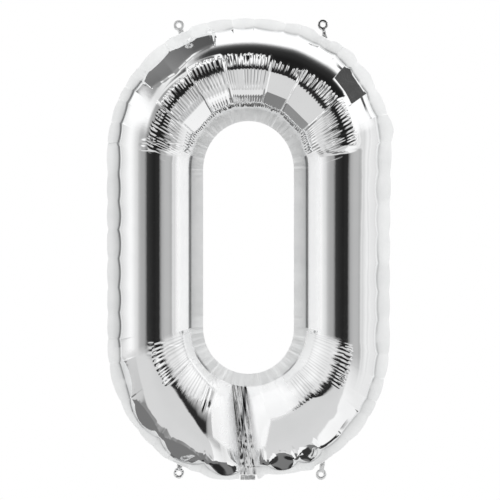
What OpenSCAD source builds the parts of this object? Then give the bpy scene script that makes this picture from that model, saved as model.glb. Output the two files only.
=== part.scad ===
// Foil number balloon, digit zero: two foil panels sealed round a ring-shaped tube,
// with hanging tabs, an inflation neck and a self-sealing film valve.
// X is the width, Y the depth with the front at -Y, and Z the height.
// The origin is the centre of the balloon.

/* [Outline] */
// Width over the edge flange
overall_w = 249.2; // [220:1:300]
// Height of the straight sides
side_h = 177.5; // [120:1:260]
// Height of the curved top end
top_end_h = 111; // [100:1:130]
// Height of the curved bottom end
bottom_end_h = 116; // [100:1:130]
// Fullness of the top end's corners, where 2 is an ellipse
top_fullness = 2.04; // [1.9:0.01:2.4]
// Fullness of the bottom end's corners, where 2 is an ellipse
bottom_fullness = 2.12; // [1.9:0.01:2.4]

/* [Number hole] */
// Width of the hole through the digit
hole_w = 79.8; // [60:1:90]
// Height of the hole's straight sides
hole_side_h = 138.8; // [90:1:180]
// Height of the hole's arched top
hole_top_h = 43.1; // [36:0.5:50]
// Height of the hole's arched bottom
hole_bottom_h = 40.4; // [36:0.5:50]

/* [Tube] */
// Depth of the inflated tube at the straight sides, without the film
side_depth = 61; // [40:1:70]
// Depth of the inflated tube at the top and bottom, without the film
end_depth = 54; // [40:1:70]
// Length over which each end of the tube closes against the web
closing_l = 20; // [12:1:30]

/* [Film and seams] */
// Thickness of each foil panel
film_t = 0.35; // [0.3:0.05:0.5]
// Thickness of the fused sealant between the panels
seal_t = 0.5; // [0.45:0.05:0.8]
// Width of the seam round the outside
edge_flange_w = 10.3; // [8:0.1:13]
// Width of the seam round the hole
hole_flange_w = 11.2; // [8:0.1:13]

/* [Web between the tube's two ends] */
// Where the web's middle meets the outer seam
web_outer_x = -0.45; // [-4:0.05:4]
// Width of the web at the outer seam
web_outer_w = 14.1; // [12:0.1:18]
// Where the web's middle meets the hole's seam
web_hole_x = -8.5; // [-12:0.5:-5]
// Width of the web at the hole's seam
web_hole_w = 13; // [10:0.5:16]

/* [Hanging tabs] */
// Diameter of a tab's ring
tab_ring_d = 9.6; // [8:0.1:12]
// Diameter of the punched hole in a tab
tab_hole_d = 4; // [3:0.1:5]
// Thickness of a tab
tab_t = 1; // [0.8:0.1:1.1]
// Diameter of the rolled fold that a tab swings on
tab_fold_d = 1.2; // [1.2:0.1:1.6]
// Length of that fold
tab_fold_l = 5; // [4:0.1:6]
// Clearance between a moving piece and what it hangs from
joint_gap = 0.3; // [0.2:0.05:0.6]

/* [Inflation neck] */
// How far the seam's edge is cut back above the neck
neck_recess = 4; // [3:0.1:6]
// Length of the neck's two lips
neck_lip_l = 4.2; // [3:0.1:12]

/* [Valve] */
// Width of the valve's films
valve_w = 12; // [10:0.1:12]
// Thickness of each valve film
valve_film_t = 0.15; // [0.1:0.01:0.15]
// Width of the weld along each side of the valve's sleeve
valve_weld_w = 1.2; // [0.8:0.1:2]
// Length of the sleeve that lies between the panels
valve_sleeve_l = 32.5; // [31:0.5:40]
// Length of the two loose flaps inside the tube
valve_flap_l = 40; // [20:1:44]
// Lean of the valve away from upright
valve_lean = 30; // [28:0.5:33]
// Clearance over each face of the sleeve
valve_face_gap = 0.05; // [0.02:0.01:0.05]
// Clearance along each side of the sleeve
valve_side_gap = 0.25; // [0.1:0.05:0.5]

/* [Hidden] */

FRONT = -1;
BACK = 1;
TOP = 1;
BOTTOM = -1;

// A hole in the middle of the digit is an ellipse at each end
hole_fullness = 2;
// The straight sides sit a little above the middle, because the bottom end is the taller one
top_z = side_h / 2 + (bottom_end_h - top_end_h) / 2;
bottom_z = top_z - side_h;
// The hole is centred on the origin
hole_top_z = hole_side_h / 2;
hole_bottom_z = -hole_side_h / 2;

// Steps round the balloon, and across the tube
top_steps = 28;
quarter_steps = 11;
closing_steps = 6;
dome_steps = 12;
web_steps = 2;
// Share of the web's width over which the recessed edge steps back
web_shoulder = 0.05;

inner_face = seal_t / 2;
outer_face = inner_face + film_t;
panel_mid = inner_face + film_t / 2;
// Length of one quarter of the tube's middle line
quarter_l = (overall_w + hole_w) / 4 * PI / 2;
closing_share = closing_l / quarter_l;

// ---- Curves -------------------------------------------------------------------------

function power(v, e) = sign(v) * pow(abs(v), e);
function between(a, b, f) = a + (b - a) * f;

// A point at an angle on a rounded end of a given half width, height and fullness
function end_point(angle, half_w, end_h, fullness) =
    [half_w * power(cos(angle), 2 / fullness), end_h * power(sin(angle), 2 / fullness)];

// The angle on a bottom end at which it is at x
function bottom_angle(x, half_w, fullness) =
    360 - acos(power(x / half_w, fullness / 2));

// A station round the balloon: [end, angle on the outline, angle on the hole, closing, in_web]
function on_outline(s, inset) =
    s[0] == TOP
    ? [0, top_z] + end_point(s[1], overall_w / 2 - inset, top_end_h - inset, top_fullness)
    : [0, bottom_z] + end_point(s[1], overall_w / 2 - inset, bottom_end_h - inset, bottom_fullness);

function on_hole(s, outset) =
    s[0] == TOP
    ? [0, hole_top_z] + end_point(s[2], hole_w / 2 + outset, hole_top_h + outset, hole_fullness)
    : [0, hole_bottom_z]
      + end_point(s[2], hole_w / 2 + outset, hole_bottom_h + outset, hole_fullness);

function edge(s) = on_outline(s, s[4] ? neck_recess : 0);
function edge_seam(s) = on_outline(s, edge_flange_w);
function hole_seam(s) = on_hole(s, hole_flange_w);
function hole_edge(s) = on_hole(s, 0);

// Where the web's left and right sides meet the two seams, as angles
function outer_web_angle(side) =
    bottom_angle(web_outer_x + side * web_outer_w / 2, overall_w / 2 - edge_flange_w,
                 bottom_fullness);
function hole_web_angle(side) =
    bottom_angle(web_hole_x + side * web_hole_w / 2, hole_w / 2 + hole_flange_w,
                 hole_fullness);

// A station on a bottom quarter: f is 0 at the web and 1 at the straight side
function bottom_station(side, f) =
    [BOTTOM,
     between(outer_web_angle(side), side < 0 ? 180 : 360, f),
     between(hole_web_angle(side), side < 0 ? 180 : 360, f),
     min(1, f / closing_share), false];

// The stations of one bottom quarter, from the web outwards, closer together where it closes
function bottom_quarter(side) =
    concat([for (k = [0:closing_steps])
                bottom_station(side, closing_share * (1 - cos(90 * k / closing_steps)))],
           [for (k = [1:quarter_steps])
                bottom_station(side, between(closing_share, 1, k / quarter_steps))]);

// The stations across the web, from right to left
function web_station(f) =
    [BOTTOM, between(outer_web_angle(1), outer_web_angle(-1), f),
     between(hole_web_angle(1), hole_web_angle(-1), f), 0, true];

function web_share(k) = between(web_shoulder, 1 - web_shoulder, k / web_steps);

function reversed(list) = [for (k = [len(list) - 1:-1:0]) list[k]];

LEFT_QUARTER = bottom_quarter(-1);
TOP_END = [for (k = [0:top_steps])
    let (a = 180 - 180 * k / top_steps) [TOP, a, a, 1, false]];
RIGHT_QUARTER = reversed(bottom_quarter(1));
WEB = [for (k = [0:web_steps]) web_station(web_share(k))];
STATIONS = concat(LEFT_QUARTER, TOP_END, RIGHT_QUARTER, WEB);

// ---- Foil panels --------------------------------------------------------------------

// Half depth of the tube at a station, with its end closed as a quarter ellipse
function half_depth(s) = between(side_depth, end_depth, pow(sin(s[1]), 2)) / 2;
function closed(share) = sqrt(max(0, 1 - pow(1 - share, 2)));
// The panel's inside closes one film thickness after its outside
function inside_share(share) = max(0, (share * closing_l - film_t) / (closing_l - film_t));

// A panel's cross-section at a station, as [x, depth, z]: out over the tube, back under it
function section(s) =
    let (a = edge_seam(s), b = hole_seam(s), skin = film_t / norm(b - a),
         rise = half_depth(s) * closed(s[3]), inside = half_depth(s) * closed(inside_share(s[3])),
         over = [for (k = [0:dome_steps]) let (t = 180 * k / dome_steps)
                 [between(a, b, (1 - cos(t)) / 2), outer_face + rise * sin(t)]],
         under = [for (k = [dome_steps:-1:0]) let (t = 180 * k / dome_steps)
                  [between(a, b, skin + (1 - 2 * skin) * (1 - cos(t)) / 2),
                   inner_face + inside * sin(t)]],
         line = concat([[edge(s), outer_face]], over, [[hole_edge(s), outer_face]],
                       [[hole_edge(s), inner_face]], under, [[edge(s), inner_face]]))
    [for (p = line) [p[0][0], p[1], p[0][1]]];

module foil_panel(side) {
    sections = [for (s = STATIONS) section(s)];
    rings = len(sections);
    around = len(sections[0]);
    points = [for (ring = sections) for (p = ring) [p[0], side * p[1], p[2]]];
    faces = [for (i = [0:rings - 1]) for (j = [0:around - 1])
        let (i2 = (i + 1) % rings, j2 = (j + 1) % around,
             a = i * around + j, b = i * around + j2,
             c = i2 * around + j2, d = i2 * around + j)
        each side == FRONT ? [[a, c, b], [a, d, c]] : [[a, b, c], [a, c, d]]];
    color("silver")
        polyhedron(points, faces, convexity = 6);
}

module front_foil() {
    foil_panel(FRONT);
}

module back_foil() {
    foil_panel(BACK);
}

// ---- Fused seams between the panels ---------------------------------------------------

// A flat piece drawn in the XZ plane, centred on y = 0
module flat(thickness) {
    rotate([90, 0, 0])
        linear_extrude(thickness, center = true)
            children();
}

// The valve runs up from the middle of the neck's mouth
mouth_s = web_station(0.5);
mouth = edge(mouth_s);
// The sleeve starts where its lower corner reaches the edge
sleeve_start = valve_w / 2 * tan(valve_lean);

module along_valve() {
    translate(mouth)
        rotate(valve_lean)
            children();
}

// The channel that the valve's sleeve lies in, cut through the seams
module valve_channel() {
    along_valve()
        translate([-valve_w / 2 - valve_side_gap, -neck_recess])
            square([valve_w + 2 * valve_side_gap, sleeve_start + valve_sleeve_l + 3 * neck_recess]);
}

module edge_heat_seal() {
    color("gainsboro")
        flat(seal_t)
            difference() {
                polygon([for (s = STATIONS) edge(s)]);
                polygon([for (s = STATIONS) edge_seam(s)]);
                valve_channel();
            }
}

module hole_heat_seal() {
    color("gainsboro")
        flat(seal_t)
            difference() {
                polygon([for (s = STATIONS) hole_seam(s)]);
                polygon([for (s = STATIONS) hole_edge(s)]);
            }
}

module web_heat_seal() {
    across = concat([RIGHT_QUARTER[len(RIGHT_QUARTER) - 1]], WEB, [LEFT_QUARTER[0]]);
    color("gainsboro")
        flat(seal_t)
            difference() {
                polygon(concat([for (s = across) edge_seam(s)],
                               [for (s = reversed(across)) hole_seam(s)]));
                valve_channel();
            }
}

// ---- Hanging tabs ---------------------------------------------------------------------

// Each tab: [end, where it leaves the edge, reach from its fold to its ring, lean outwards]
TOP_LEFT = [TOP, -58.9, 6.3, -18.4];
TOP_RIGHT = [TOP, 66.6, 10.6, -9.2];
BOTTOM_LEFT = [BOTTOM, -60.2, 6.4, -6.2];
BOTTOM_RIGHT = [BOTTOM, 64.6, 9.8, -7];

tab_neck_w = tab_ring_d * 0.6;

// Height of the flange's edge above the end's own centre line, and its slope, at x
function edge_rise(end, x) =
    let (n = end == TOP ? top_fullness : bottom_fullness,
         h = end == TOP ? top_end_h : bottom_end_h)
    h * pow(1 - pow(abs(x) / (overall_w / 2), n), 1 / n);
function edge_at(end, x) = [x, end == TOP ? top_z + edge_rise(end, x) : bottom_z - edge_rise(end, x)];
// Unit vector along the edge at x, towards +X
function edge_along(end, x) =
    let (d = edge_at(end, x + 0.5) - edge_at(end, x - 0.5)) d / norm(d);
function edge_outwards(end, x) = let (t = edge_along(end, x)) end * [-t[1], t[0]];

function tab_fold(tab) =
    edge_at(tab[0], tab[1]) + edge_outwards(tab[0], tab[1]) * (tab_fold_d / 2 + joint_gap);
function tab_direction(tab) = [sin(tab[3]), tab[0] * cos(tab[3])];
function tab_ring(tab) = tab_fold(tab) + tab_direction(tab) * tab[2];

module hanging_tab(tab) {
    fold = tab_fold(tab);
    along = edge_along(tab[0], tab[1]);
    ring = tab_ring(tab);
    aim = tab_direction(tab);
    across = tab[0] * [aim[1], -aim[0]];
    color("silver")
        difference() {
            union() {
                translate([fold[0], 0, fold[1]])
                    rotate([0, 90 - atan2(along[1], along[0]), 0])
                        cylinder(h = tab_fold_l, d = tab_fold_d, center = true, $fn = 32);
                flat(tab_t)
                    polygon([fold - along * tab_fold_l / 2, fold + along * tab_fold_l / 2,
                             ring + across * tab_neck_w / 2, ring - across * tab_neck_w / 2]);
                translate([ring[0], 0, ring[1]])
                    rotate([90, 0, 0])
                        cylinder(h = tab_t, d = tab_ring_d, center = true, $fn = 64);
            }
            translate([ring[0], 0, ring[1]])
                rotate([90, 0, 0])
                    cylinder(h = 3 * tab_t, d = tab_hole_d, center = true, $fn = 48);
        }
}

module top_left_tab() {
    hanging_tab(TOP_LEFT);
}

module top_right_tab() {
    hanging_tab(TOP_RIGHT);
}

module bottom_left_tab() {
    hanging_tab(BOTTOM_LEFT);
}

module bottom_right_tab() {
    hanging_tab(BOTTOM_RIGHT);
}

// ---- Inflation neck ---------------------------------------------------------------------

// The lips fill the recess in the edge, clear of its two sides
neck_w = web_outer_w - 4 * joint_gap;
neck_top_z = mouth[1] - joint_gap;

module neck_lip(side) {
    color("silver")
        translate([mouth[0] - neck_w / 2, side * panel_mid - film_t / 2, neck_top_z - neck_lip_l])
            cube([neck_w, film_t, neck_lip_l]);
}

module neck_front_lip() {
    neck_lip(FRONT);
}

module neck_back_lip() {
    neck_lip(BACK);
}

// ---- Valve --------------------------------------------------------------------------------

sleeve_half_t = inner_face - valve_face_gap;

module valve_sleeve() {
    color("white", 0.6)
        difference() {
            flat(2 * sleeve_half_t)
                along_valve()
                    translate([-valve_w / 2, sleeve_start])
                        square([valve_w, valve_sleeve_l]);
            flat(2 * (sleeve_half_t - valve_film_t))
                along_valve()
                    translate([-valve_w / 2 + valve_weld_w, sleeve_start - 1])
                        square([valve_w - 2 * valve_weld_w, valve_sleeve_l + 2]);
        }
}

module valve_flap(side) {
    color("white", 0.6)
        translate([0, side * (joint_gap + valve_film_t) / 2, 0])
            flat(valve_film_t)
                along_valve()
                    translate([-valve_w / 2, sleeve_start + valve_sleeve_l + joint_gap])
                        square([valve_w, valve_flap_l]);
}

module valve_front_flap() {
    valve_flap(FRONT);
}

module valve_back_flap() {
    valve_flap(BACK);
}

front_foil();
back_foil();
edge_heat_seal();
hole_heat_seal();
web_heat_seal();
top_left_tab();
top_right_tab();
bottom_left_tab();
bottom_right_tab();
neck_front_lip();
neck_back_lip();
valve_sleeve();
valve_front_flap();
valve_back_flap();
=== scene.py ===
"""Foil number balloon, digit zero: mirror film panels, welded seams, hanging tabs, neck and valve.

Lengths are written in millimetres, as in the part's source, and become metres when a mesh is made.
X is the width, Y the depth with the front at -Y, and Z the height.
"""
import math

import bmesh
import bpy
import numpy as np
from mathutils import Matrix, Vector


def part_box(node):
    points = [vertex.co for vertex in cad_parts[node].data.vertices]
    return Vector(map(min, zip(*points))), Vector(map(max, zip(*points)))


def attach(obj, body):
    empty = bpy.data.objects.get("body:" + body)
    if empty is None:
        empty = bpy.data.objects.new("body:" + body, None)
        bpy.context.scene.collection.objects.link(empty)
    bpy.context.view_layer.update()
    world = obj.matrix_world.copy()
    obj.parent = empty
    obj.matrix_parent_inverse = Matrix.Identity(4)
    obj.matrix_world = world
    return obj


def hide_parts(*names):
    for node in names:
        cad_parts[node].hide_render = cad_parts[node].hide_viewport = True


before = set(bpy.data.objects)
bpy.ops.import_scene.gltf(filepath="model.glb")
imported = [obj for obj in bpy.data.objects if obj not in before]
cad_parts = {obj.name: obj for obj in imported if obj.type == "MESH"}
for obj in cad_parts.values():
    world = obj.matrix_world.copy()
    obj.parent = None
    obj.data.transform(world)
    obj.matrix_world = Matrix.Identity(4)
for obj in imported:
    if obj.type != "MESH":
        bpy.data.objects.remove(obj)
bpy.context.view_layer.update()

MM = 0.001
FRONT, BACK = -1, 1
TOP, BOTTOM = 1, -1

# ---- Driving dimensions, the same as the solids' -------------------------------------------
OVERALL_W = 249.2
SIDE_H = 177.5
TOP_END_H = 111.0
BOTTOM_END_H = 116.0
TOP_FULLNESS = 2.04
BOTTOM_FULLNESS = 2.12
HOLE_W = 79.8
HOLE_SIDE_H = 138.8
HOLE_TOP_H = 43.1
HOLE_BOTTOM_H = 40.4
HOLE_FULLNESS = 2.0
SIDE_DEPTH = 61.0
END_DEPTH = 54.0
CLOSING_L = 20.0
FILM_T = 0.35
SEAL_T = 0.5
EDGE_FLANGE_W = 10.3
HOLE_FLANGE_W = 11.2
WEB_OUTER_X, WEB_OUTER_W = -0.45, 14.1
WEB_HOLE_X, WEB_HOLE_W = -8.5, 13.0
NECK_RECESS = 4.0
NECK_LIP_L = 4.2
JOINT_GAP = 0.3

TOP_Z = SIDE_H / 2 + (BOTTOM_END_H - TOP_END_H) / 2
BOTTOM_Z = TOP_Z - SIDE_H
HOLE_Z = HOLE_SIDE_H / 2
INNER_FACE = SEAL_T / 2
OUTER_FACE = INNER_FACE + FILM_T
QUARTER_L = (OVERALL_W + HOLE_W) / 4 * math.pi / 2

# ---- Where the film puckers ----------------------------------------------------------------
# Pinches of the outer seam, as leans from upright round each end and heights up each side
TOP_PINCHES = (-89, -79.5, -68.5, -62, -51.3, -36, -26.5, -16, -6.3, 2.2, 15, 21.4, 32, 40.3,
               49.7, 63.9, 76.3, 89)
LEFT_SIDE_PINCHES = (66, 41, 17, -9, -33, -57, -79)
RIGHT_SIDE_PINCHES = (67, 40, 14, -13, -38, -62)
BOTTOM_PINCHES = (-83.3, -66, -51, -41.8, -33.7, -18.7, -3.4, 2.6, 7.6, 20.7, 33.2, 44.5, 58.8,
                  65.9, 76.9, 87.3)
# How far the edge stands out of its curve, as (lean, mm), because the seam isn't quite even
TOP_BULGES = ((-90, -0.3), (-84, -1.3), (-75, -2.0), (-66, -2.0), (-55, -1.8), (-45, -0.9),
              (-36, 0.2), (-28, 1.6), (-16, 1.6), (-8, 0.4), (16, 0.3), (22, 2.6), (28, 1.6),
              (33, 1.2), (37, 2.2), (46, 3.4), (50, 1.4), (57, 1.8), (64, 0.4), (70, 0.8),
              (76, 1.4), (84, 3.8), (90, 1.2))
BOTTOM_BULGES = ((-90, -0.8), (-72, -2.0), (-55, -2.2), (-40, -0.6), (-34, 1.2), (-20, 0.8),
                 (-14, 2.3), (-6, 1.2), (2, 0.6), (6, -3.0), (15, -1.4), (26, 2.6), (30, 1.6),
                 (36, -1.2), (50, -1.0), (62, -2.0), (75, -2.2), (90, -0.8))
# Leaf-shaped facets along the bottom's outer seam: from lean, to lean, width over the tube, and
# how far the film bulges out over the seam
LENSES = ((-86, -66, 9.5, 0), (-65.5, -42.2, 10.0, 5.0), (-41.6, -18.8, 11.0, 7.2),
          (-18.4, -2.0, 8.0, 8.0), (7.9, 20.6, 12.0, 6.3), (20.8, 33.0, 12.0, 5.4),
          (33.2, 44.5, 2.6, 1.8))
# The flat facet by the upper left corner, as widths at leans
CORNER_FACETS = ((-56.2, 0), (-55.4, 12.5), (-48, 16.5), (-41, 19), (-33, 16), (-27, 13),
                 (-16, 11), (-14.6, 0))
# The one by the upper right, which ends in a step on both sides: middle, half width, slope
RIGHT_DENT_LEAN, RIGHT_DENT_HALF, RIGHT_DENT_SLOPE = 55.6, 8.4, 1.27
# How far outside the seam both start, in mm, and how steeply the film rises to them
CORNER_START, CORNER_RISE = 2.0, 3.0
# Where the crest runs across the tube round the bottom, as (lean, share of the way from the edge)
BOTTOM_CREST = ((-90, 0.5), (-73, 0.50), (-61, 0.51), (-52, 0.535), (-41, 0.505), (-30, 0.435),
                (-21, 0.32), (-15, 0.22), (-5, 0.2), (5, 0.28), (7, 0.33), (8.5, 0.45),
                (13.4, 0.56), (25, 0.62), (34, 0.57), (46, 0.56), (52, 0.49), (62, 0.45),
                (76, 0.46), (90, 0.5))
# Where the straight slope from the hole's seam meets the round tube, as a share of the way from
# the crest to that seam: 1 where there is no such slope
BOTTOM_HOLE_SLOPE = ((-90, 1), (-86, 0.8), (86, 0.8), (90, 1))
# Where the gathered film inside that crest begins, in degrees across the tube, and how dull it is
DULL_START = ((-45, 103), (-41, 110), (-33, 116), (-31, 98), (-28, 70), (-17, 50), (-2, 50),
              (4, 62), (8, 84), (11, 97), (30, 101), (45, 101), (60, 97))
DULL_SHARE = ((-90, 0), (-86, 0.5), (-44, 0.55), (-40, 0.45), (-33, 0.45), (-30, 0.75), (-2, 0.8),
              (6, 0.9), (28, 0.9), (36, 0.7), (60, 0.65), (86, 0.6), (90, 0))
# How the tube's outer side curves there: 2 is round and more is flat-topped
BOTTOM_OUTER_CURVE = ((-90, 2), (-70, 2.1), (-50, 2.6), (-10, 2.8), (5, 3), (40, 2.8), (60, 2.2),
                      (90, 2))
# How far it sags between the seam and the crest, as a factor of the tube's height
BOTTOM_SAG = ((-62, 0), (-50, 0.12), (-12, 0.12), (0, 0.25), (44, 0.25), (52, 0))
# Length over which the flattened tube closes towards the web, on the left and the right
LEFT_CLOSING_L = 28.0
RIGHT_CLOSING_L = 6.0

# Panels of the gathered film between the creases of the fan, from left to right:
# where its outer edge and its dark crest lie across the tube in degrees, height of its gathers,
# of the lip that they stand up in, of the streaks inside the crest, of the grain by the hole,
# and how far apart the gathers by the edge stand
TOP_PANELS = ((80, 89, 1.3, 0.0, 0.30, 0.5, 0.2), (70.5, 88, 1.1, 1.7, 0.34, 0.5, 0.1),
              (65.5, 85.5, 1.1, 2.4, 0.34, 0.5, 0.1), (67, 87, 1.5, 0.3, 0.26, 0.5, 0),
              (73, 88, 1.2, 0.5, 0.09, 0.5, 0.5), (70, 90, 1.3, 0.4, 0.08, 0.5, 0.5),
              (63.5, 83, 1.0, 2.3, 0.22, 0.5, 0))
BOTTOM_PANELS = ((88, 99, 1.1, 0.0, 0.10, 0.0, 0.3), (97, 102, 0.0, 0.0, 0.10, 0.0, 0),
                 (80, 95, 0.0, 0.0, 0.0, 0.25, 0), (80, 95, 0.0, 0.0, 0.0, 0.12, 0),
                 (80, 95, 0.0, 0.0, 0.0, 0.25, 0), (80, 95, 0.0, 0.0, 0.08, 0.0, 0),
                 (75, 88, 1.1, 0.0, 0.10, 0.0, 0.3))
# Where each panel of the top fan bends across the tube, in degrees: it is flat between these
TOP_FACETS = ((102, 112, 120, 127, 133, 139, 145, 151), (94, 109, 119, 148),
              (94, 110, 117.5, 134, 147), (92, 113, 119.5, 131.5, 146), (94, 122.5, 147),
              (98, 128, 147), (92, 104, 112, 119, 125, 131, 136, 141, 146, 151))
# The creases between the panels, as leans
TOP_FAN = (-90, -59, -34, -13.8, 12.8, 31.2, 57.5, 90)
BOTTOM_FAN = (-90, -62, -36, -14, 10, 27, 60, 90)


# ---- Numbers -------------------------------------------------------------------------------

def signed_power(value, exponent):
    return np.sign(value) * np.abs(value) ** exponent


def step(low, high, value):
    """A smooth step from 0 at low to 1 at high, where low may be the larger one."""
    share = np.clip((value - low) / (high - low), 0, 1)
    return share * share * (3 - 2 * share)


def band(a, b, c, d, value):
    """A smooth band: it rises from 0 at a to 1 at b, and falls from 1 at c to 0 at d."""
    return step(a, b, value) * step(d, c, value)


def lookup(table, value):
    """A value read between the (place, value) points of a table."""
    return np.interp(value, *zip(*table))


def lattice_noise(x, y, seed):
    """Smooth noise between -1 and 1, with features one unit across."""
    table = np.random.default_rng(seed).uniform(-1, 1, (64, 64))
    left, low = np.floor(x).astype(int), np.floor(y).astype(int)
    u, v = step(0, 1, x - left), step(0, 1, y - low)
    corner = lambda i, j: table[(left + i) % 64, (low + j) % 64]
    bottom = corner(0, 0) * (1 - u) + corner(1, 0) * u
    top = corner(0, 1) * (1 - u) + corner(1, 1) * u
    return bottom * (1 - v) + top * v


def crumple(x, y, seed, octaves=3):
    """Sharp-edged folds, as in crushed foil, between -1 and 1."""
    total, size = 0, 1.0
    for k in range(octaves):
        fold = 1 - 2 * np.abs(lattice_noise(x / size + 7.3 * k, y / size - 3.1 * k, seed + k))
        total = total + fold * size
        size *= 0.55
    return total / 2


def smoothed(values, span):
    """The running mean over a number of columns."""
    ring = np.concatenate([values[-span:], values, values[:span]])
    return np.convolve(ring, np.ones(span) / span, "same")[span:-span]


# ---- Columns round the balloon -------------------------------------------------------------

def rounded_end(lean, half_w, end_h, fullness, centre_z, up):
    """Points round an end, at leans in degrees from upright, as [x, z]."""
    angle = np.radians(lean)
    x = half_w * signed_power(np.sin(angle), 2 / fullness)
    z = centre_z + up * end_h * np.abs(np.cos(angle)) ** (2 / fullness)
    return np.stack([x, z], -1)


def web_leans(side):
    """Leans at which a side of the web meets the outer seam and the hole's seam."""
    leans = []
    for middle, width, half_w, fullness in (
            (WEB_OUTER_X, WEB_OUTER_W, OVERALL_W / 2 - EDGE_FLANGE_W, BOTTOM_FULLNESS),
            (WEB_HOLE_X, WEB_HOLE_W, HOLE_W / 2 + HOLE_FLANGE_W, HOLE_FULLNESS)):
        sine = signed_power((middle + side * width / 2) / half_w, fullness / 2)
        leans.append(math.degrees(math.asin(sine)))
    return leans


class Columns:
    """The columns of the film's mesh, clockwise from the left side of the web."""

    QUARTER, SIDE_END, SIDE_MIDDLE, TOP_ARC, WEB = 220, 22, 40, 800, 44

    def __init__(self):
        quarter, arc, across = (np.arange(n) / n for n in (self.QUARTER, self.TOP_ARC, self.WEB))
        # The columns stand denser over 0.09 of a straight side at each end
        end, middle = np.arange(self.SIDE_END), np.arange(self.SIDE_MIDDLE)
        up_side = np.concatenate([0.09 * end / self.SIDE_END,
                                  0.09 + 0.82 * middle / self.SIDE_MIDDLE,
                                  0.91 + 0.09 * end / self.SIDE_END])
        shares = (quarter, up_side, arc, up_side, quarter, across)
        # Where the parts meet: leans on the outer seam and on the hole's seam, and how far the
        # tube has opened, as a share of the quarter from the web to a straight side
        left, right = (*web_leans(-1), 0), (*web_leans(1), 0)
        corners = (left, (-90, -90, 1), (-90, -90, 1), (90, 90, 1), (90, 90, 1), right, left)
        self.lean_out, self.lean_in, opened = (
            np.concatenate([a[k] + (b[k] - a[k]) * f
                            for f, a, b in zip(shares, corners, corners[1:])]) for k in range(3))
        self.f = np.concatenate(shares)
        self.count = len(self.f)
        self.part = np.repeat(np.arange(len(shares)), [len(f) for f in shares])
        (self.left_quarter, self.left_side, self.top, self.right_side, self.right_quarter,
         self.web) = (self.part == k for k in range(len(shares)))
        self.quarters = self.left_quarter | self.right_quarter
        self.sides = self.left_side | self.right_side
        # 0 on the web, and 1 from the place where the tube is wholly open
        self.share = np.clip(opened * QUARTER_L / CLOSING_L, 0, 1)
        # Height of the tube where it closes towards the web, as a share of its full height
        length = np.where(self.left_quarter | self.left_side, LEFT_CLOSING_L, RIGHT_CLOSING_L)
        near = np.clip(opened * QUARTER_L / length, 0, 1)
        self.closed = np.sqrt(np.clip(1 - (1 - near) ** 2, 0, 1))
        # How far up a straight side: 0 at the bottom end, 1 at the top end
        self.rise_up = np.select([self.left_side, self.top, self.right_side],
                                 [self.f, 1.0, 1 - self.f], 0.0)
        self.over = self.top | (self.rise_up > 0.5)

    def line(self, lean, half_w, top, bottom):
        """Points of one line round the balloon; top and bottom are (height, fullness, centre z)."""
        share = self.rise_up[:, None]
        under = rounded_end(lean, half_w, *bottom, BOTTOM)
        return under * (1 - share) + rounded_end(lean, half_w, *top, TOP) * share

    def outline(self, inset):
        return self.line(self.lean_out, OVERALL_W / 2 - inset,
                         (TOP_END_H - inset, TOP_FULLNESS, TOP_Z),
                         (BOTTOM_END_H - inset, BOTTOM_FULLNESS, BOTTOM_Z))

    def hole(self, outset):
        return self.line(self.lean_in, HOLE_W / 2 + outset,
                         (HOLE_TOP_H + outset, HOLE_FULLNESS, HOLE_Z),
                         (HOLE_BOTTOM_H + outset, HOLE_FULLNESS, -HOLE_Z))


COLUMNS = Columns()


def petals():
    """Each column's petal of the outer seam: its share along it, its length, and its number."""
    col = COLUMNS
    line = col.outline(0)
    gaps = np.linalg.norm(np.roll(line, -1, 0) - line, axis=1)
    way, whole = np.concatenate([[0], np.cumsum(gaps[:-1])]), gaps.sum()
    pinches = []
    for chosen, places, wanted in ((col.top, col.lean_out, TOP_PINCHES),
                                   (col.left_side, line[:, 1], LEFT_SIDE_PINCHES),
                                   (col.right_side, line[:, 1], RIGHT_SIDE_PINCHES),
                                   (col.left_quarter, col.lean_out, BOTTOM_PINCHES),
                                   (col.right_quarter, col.lean_out, BOTTOM_PINCHES)):
        at = places[chosen]
        order = np.argsort(at)
        inside = [p for p in wanted if at.min() <= p <= at.max()]
        pinches += list(np.interp(inside, at[order], way[chosen][order]))
    pinches = np.sort(np.array(pinches))
    ring = np.concatenate([[pinches[-1] - whole], pinches, [pinches[0] + whole]])
    number = np.clip(np.searchsorted(ring, way, side="right") - 1, 0, len(ring) - 2)
    start, stop = ring[number], ring[number + 1]
    return (way - start) / (stop - start), stop - start, number


# ---- Where the tabs hang -------------------------------------------------------------------

TAB_RING_D = 9.6
TAB_HOLE_D = 4.0
TAB_T = 1.0
TAB_FOLD_D = 1.2
TAB_FOLD_L = 5.0
# The edge is held straight this far beyond a fold's ends, and is free from the second length on
HELD_BY_TAB = (3, 9)
# Each tab: end of the balloon, where it leaves the edge, reach, lean, width of its pinch, seed
TABS = {"top_left_tab": (TOP, -58.9, 6.3, -18.4, 1.9, 3),
        "top_right_tab": (TOP, 66.6, 10.6, -9.2, 1.1, 8),
        "bottom_left_tab": (BOTTOM, -60.2, 6.4, -6.2, 1.8, 5),
        "bottom_right_tab": (BOTTOM, 64.6, 9.8, -7, 1.5, 12)}
# Tabs whose film is crinkled dull, where the others are mirror bright
DULL_TABS = ("top_left_tab", "bottom_right_tab")


def edge_at(end, x):
    """A point of the plain edge curve above or below x."""
    fullness, height = (TOP_FULLNESS, TOP_END_H) if end == TOP else (BOTTOM_FULLNESS, BOTTOM_END_H)
    rise = height * (1 - (abs(x) / (OVERALL_W / 2)) ** fullness) ** (1 / fullness)
    return np.array([x, TOP_Z + rise if end == TOP else BOTTOM_Z - rise])


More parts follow.
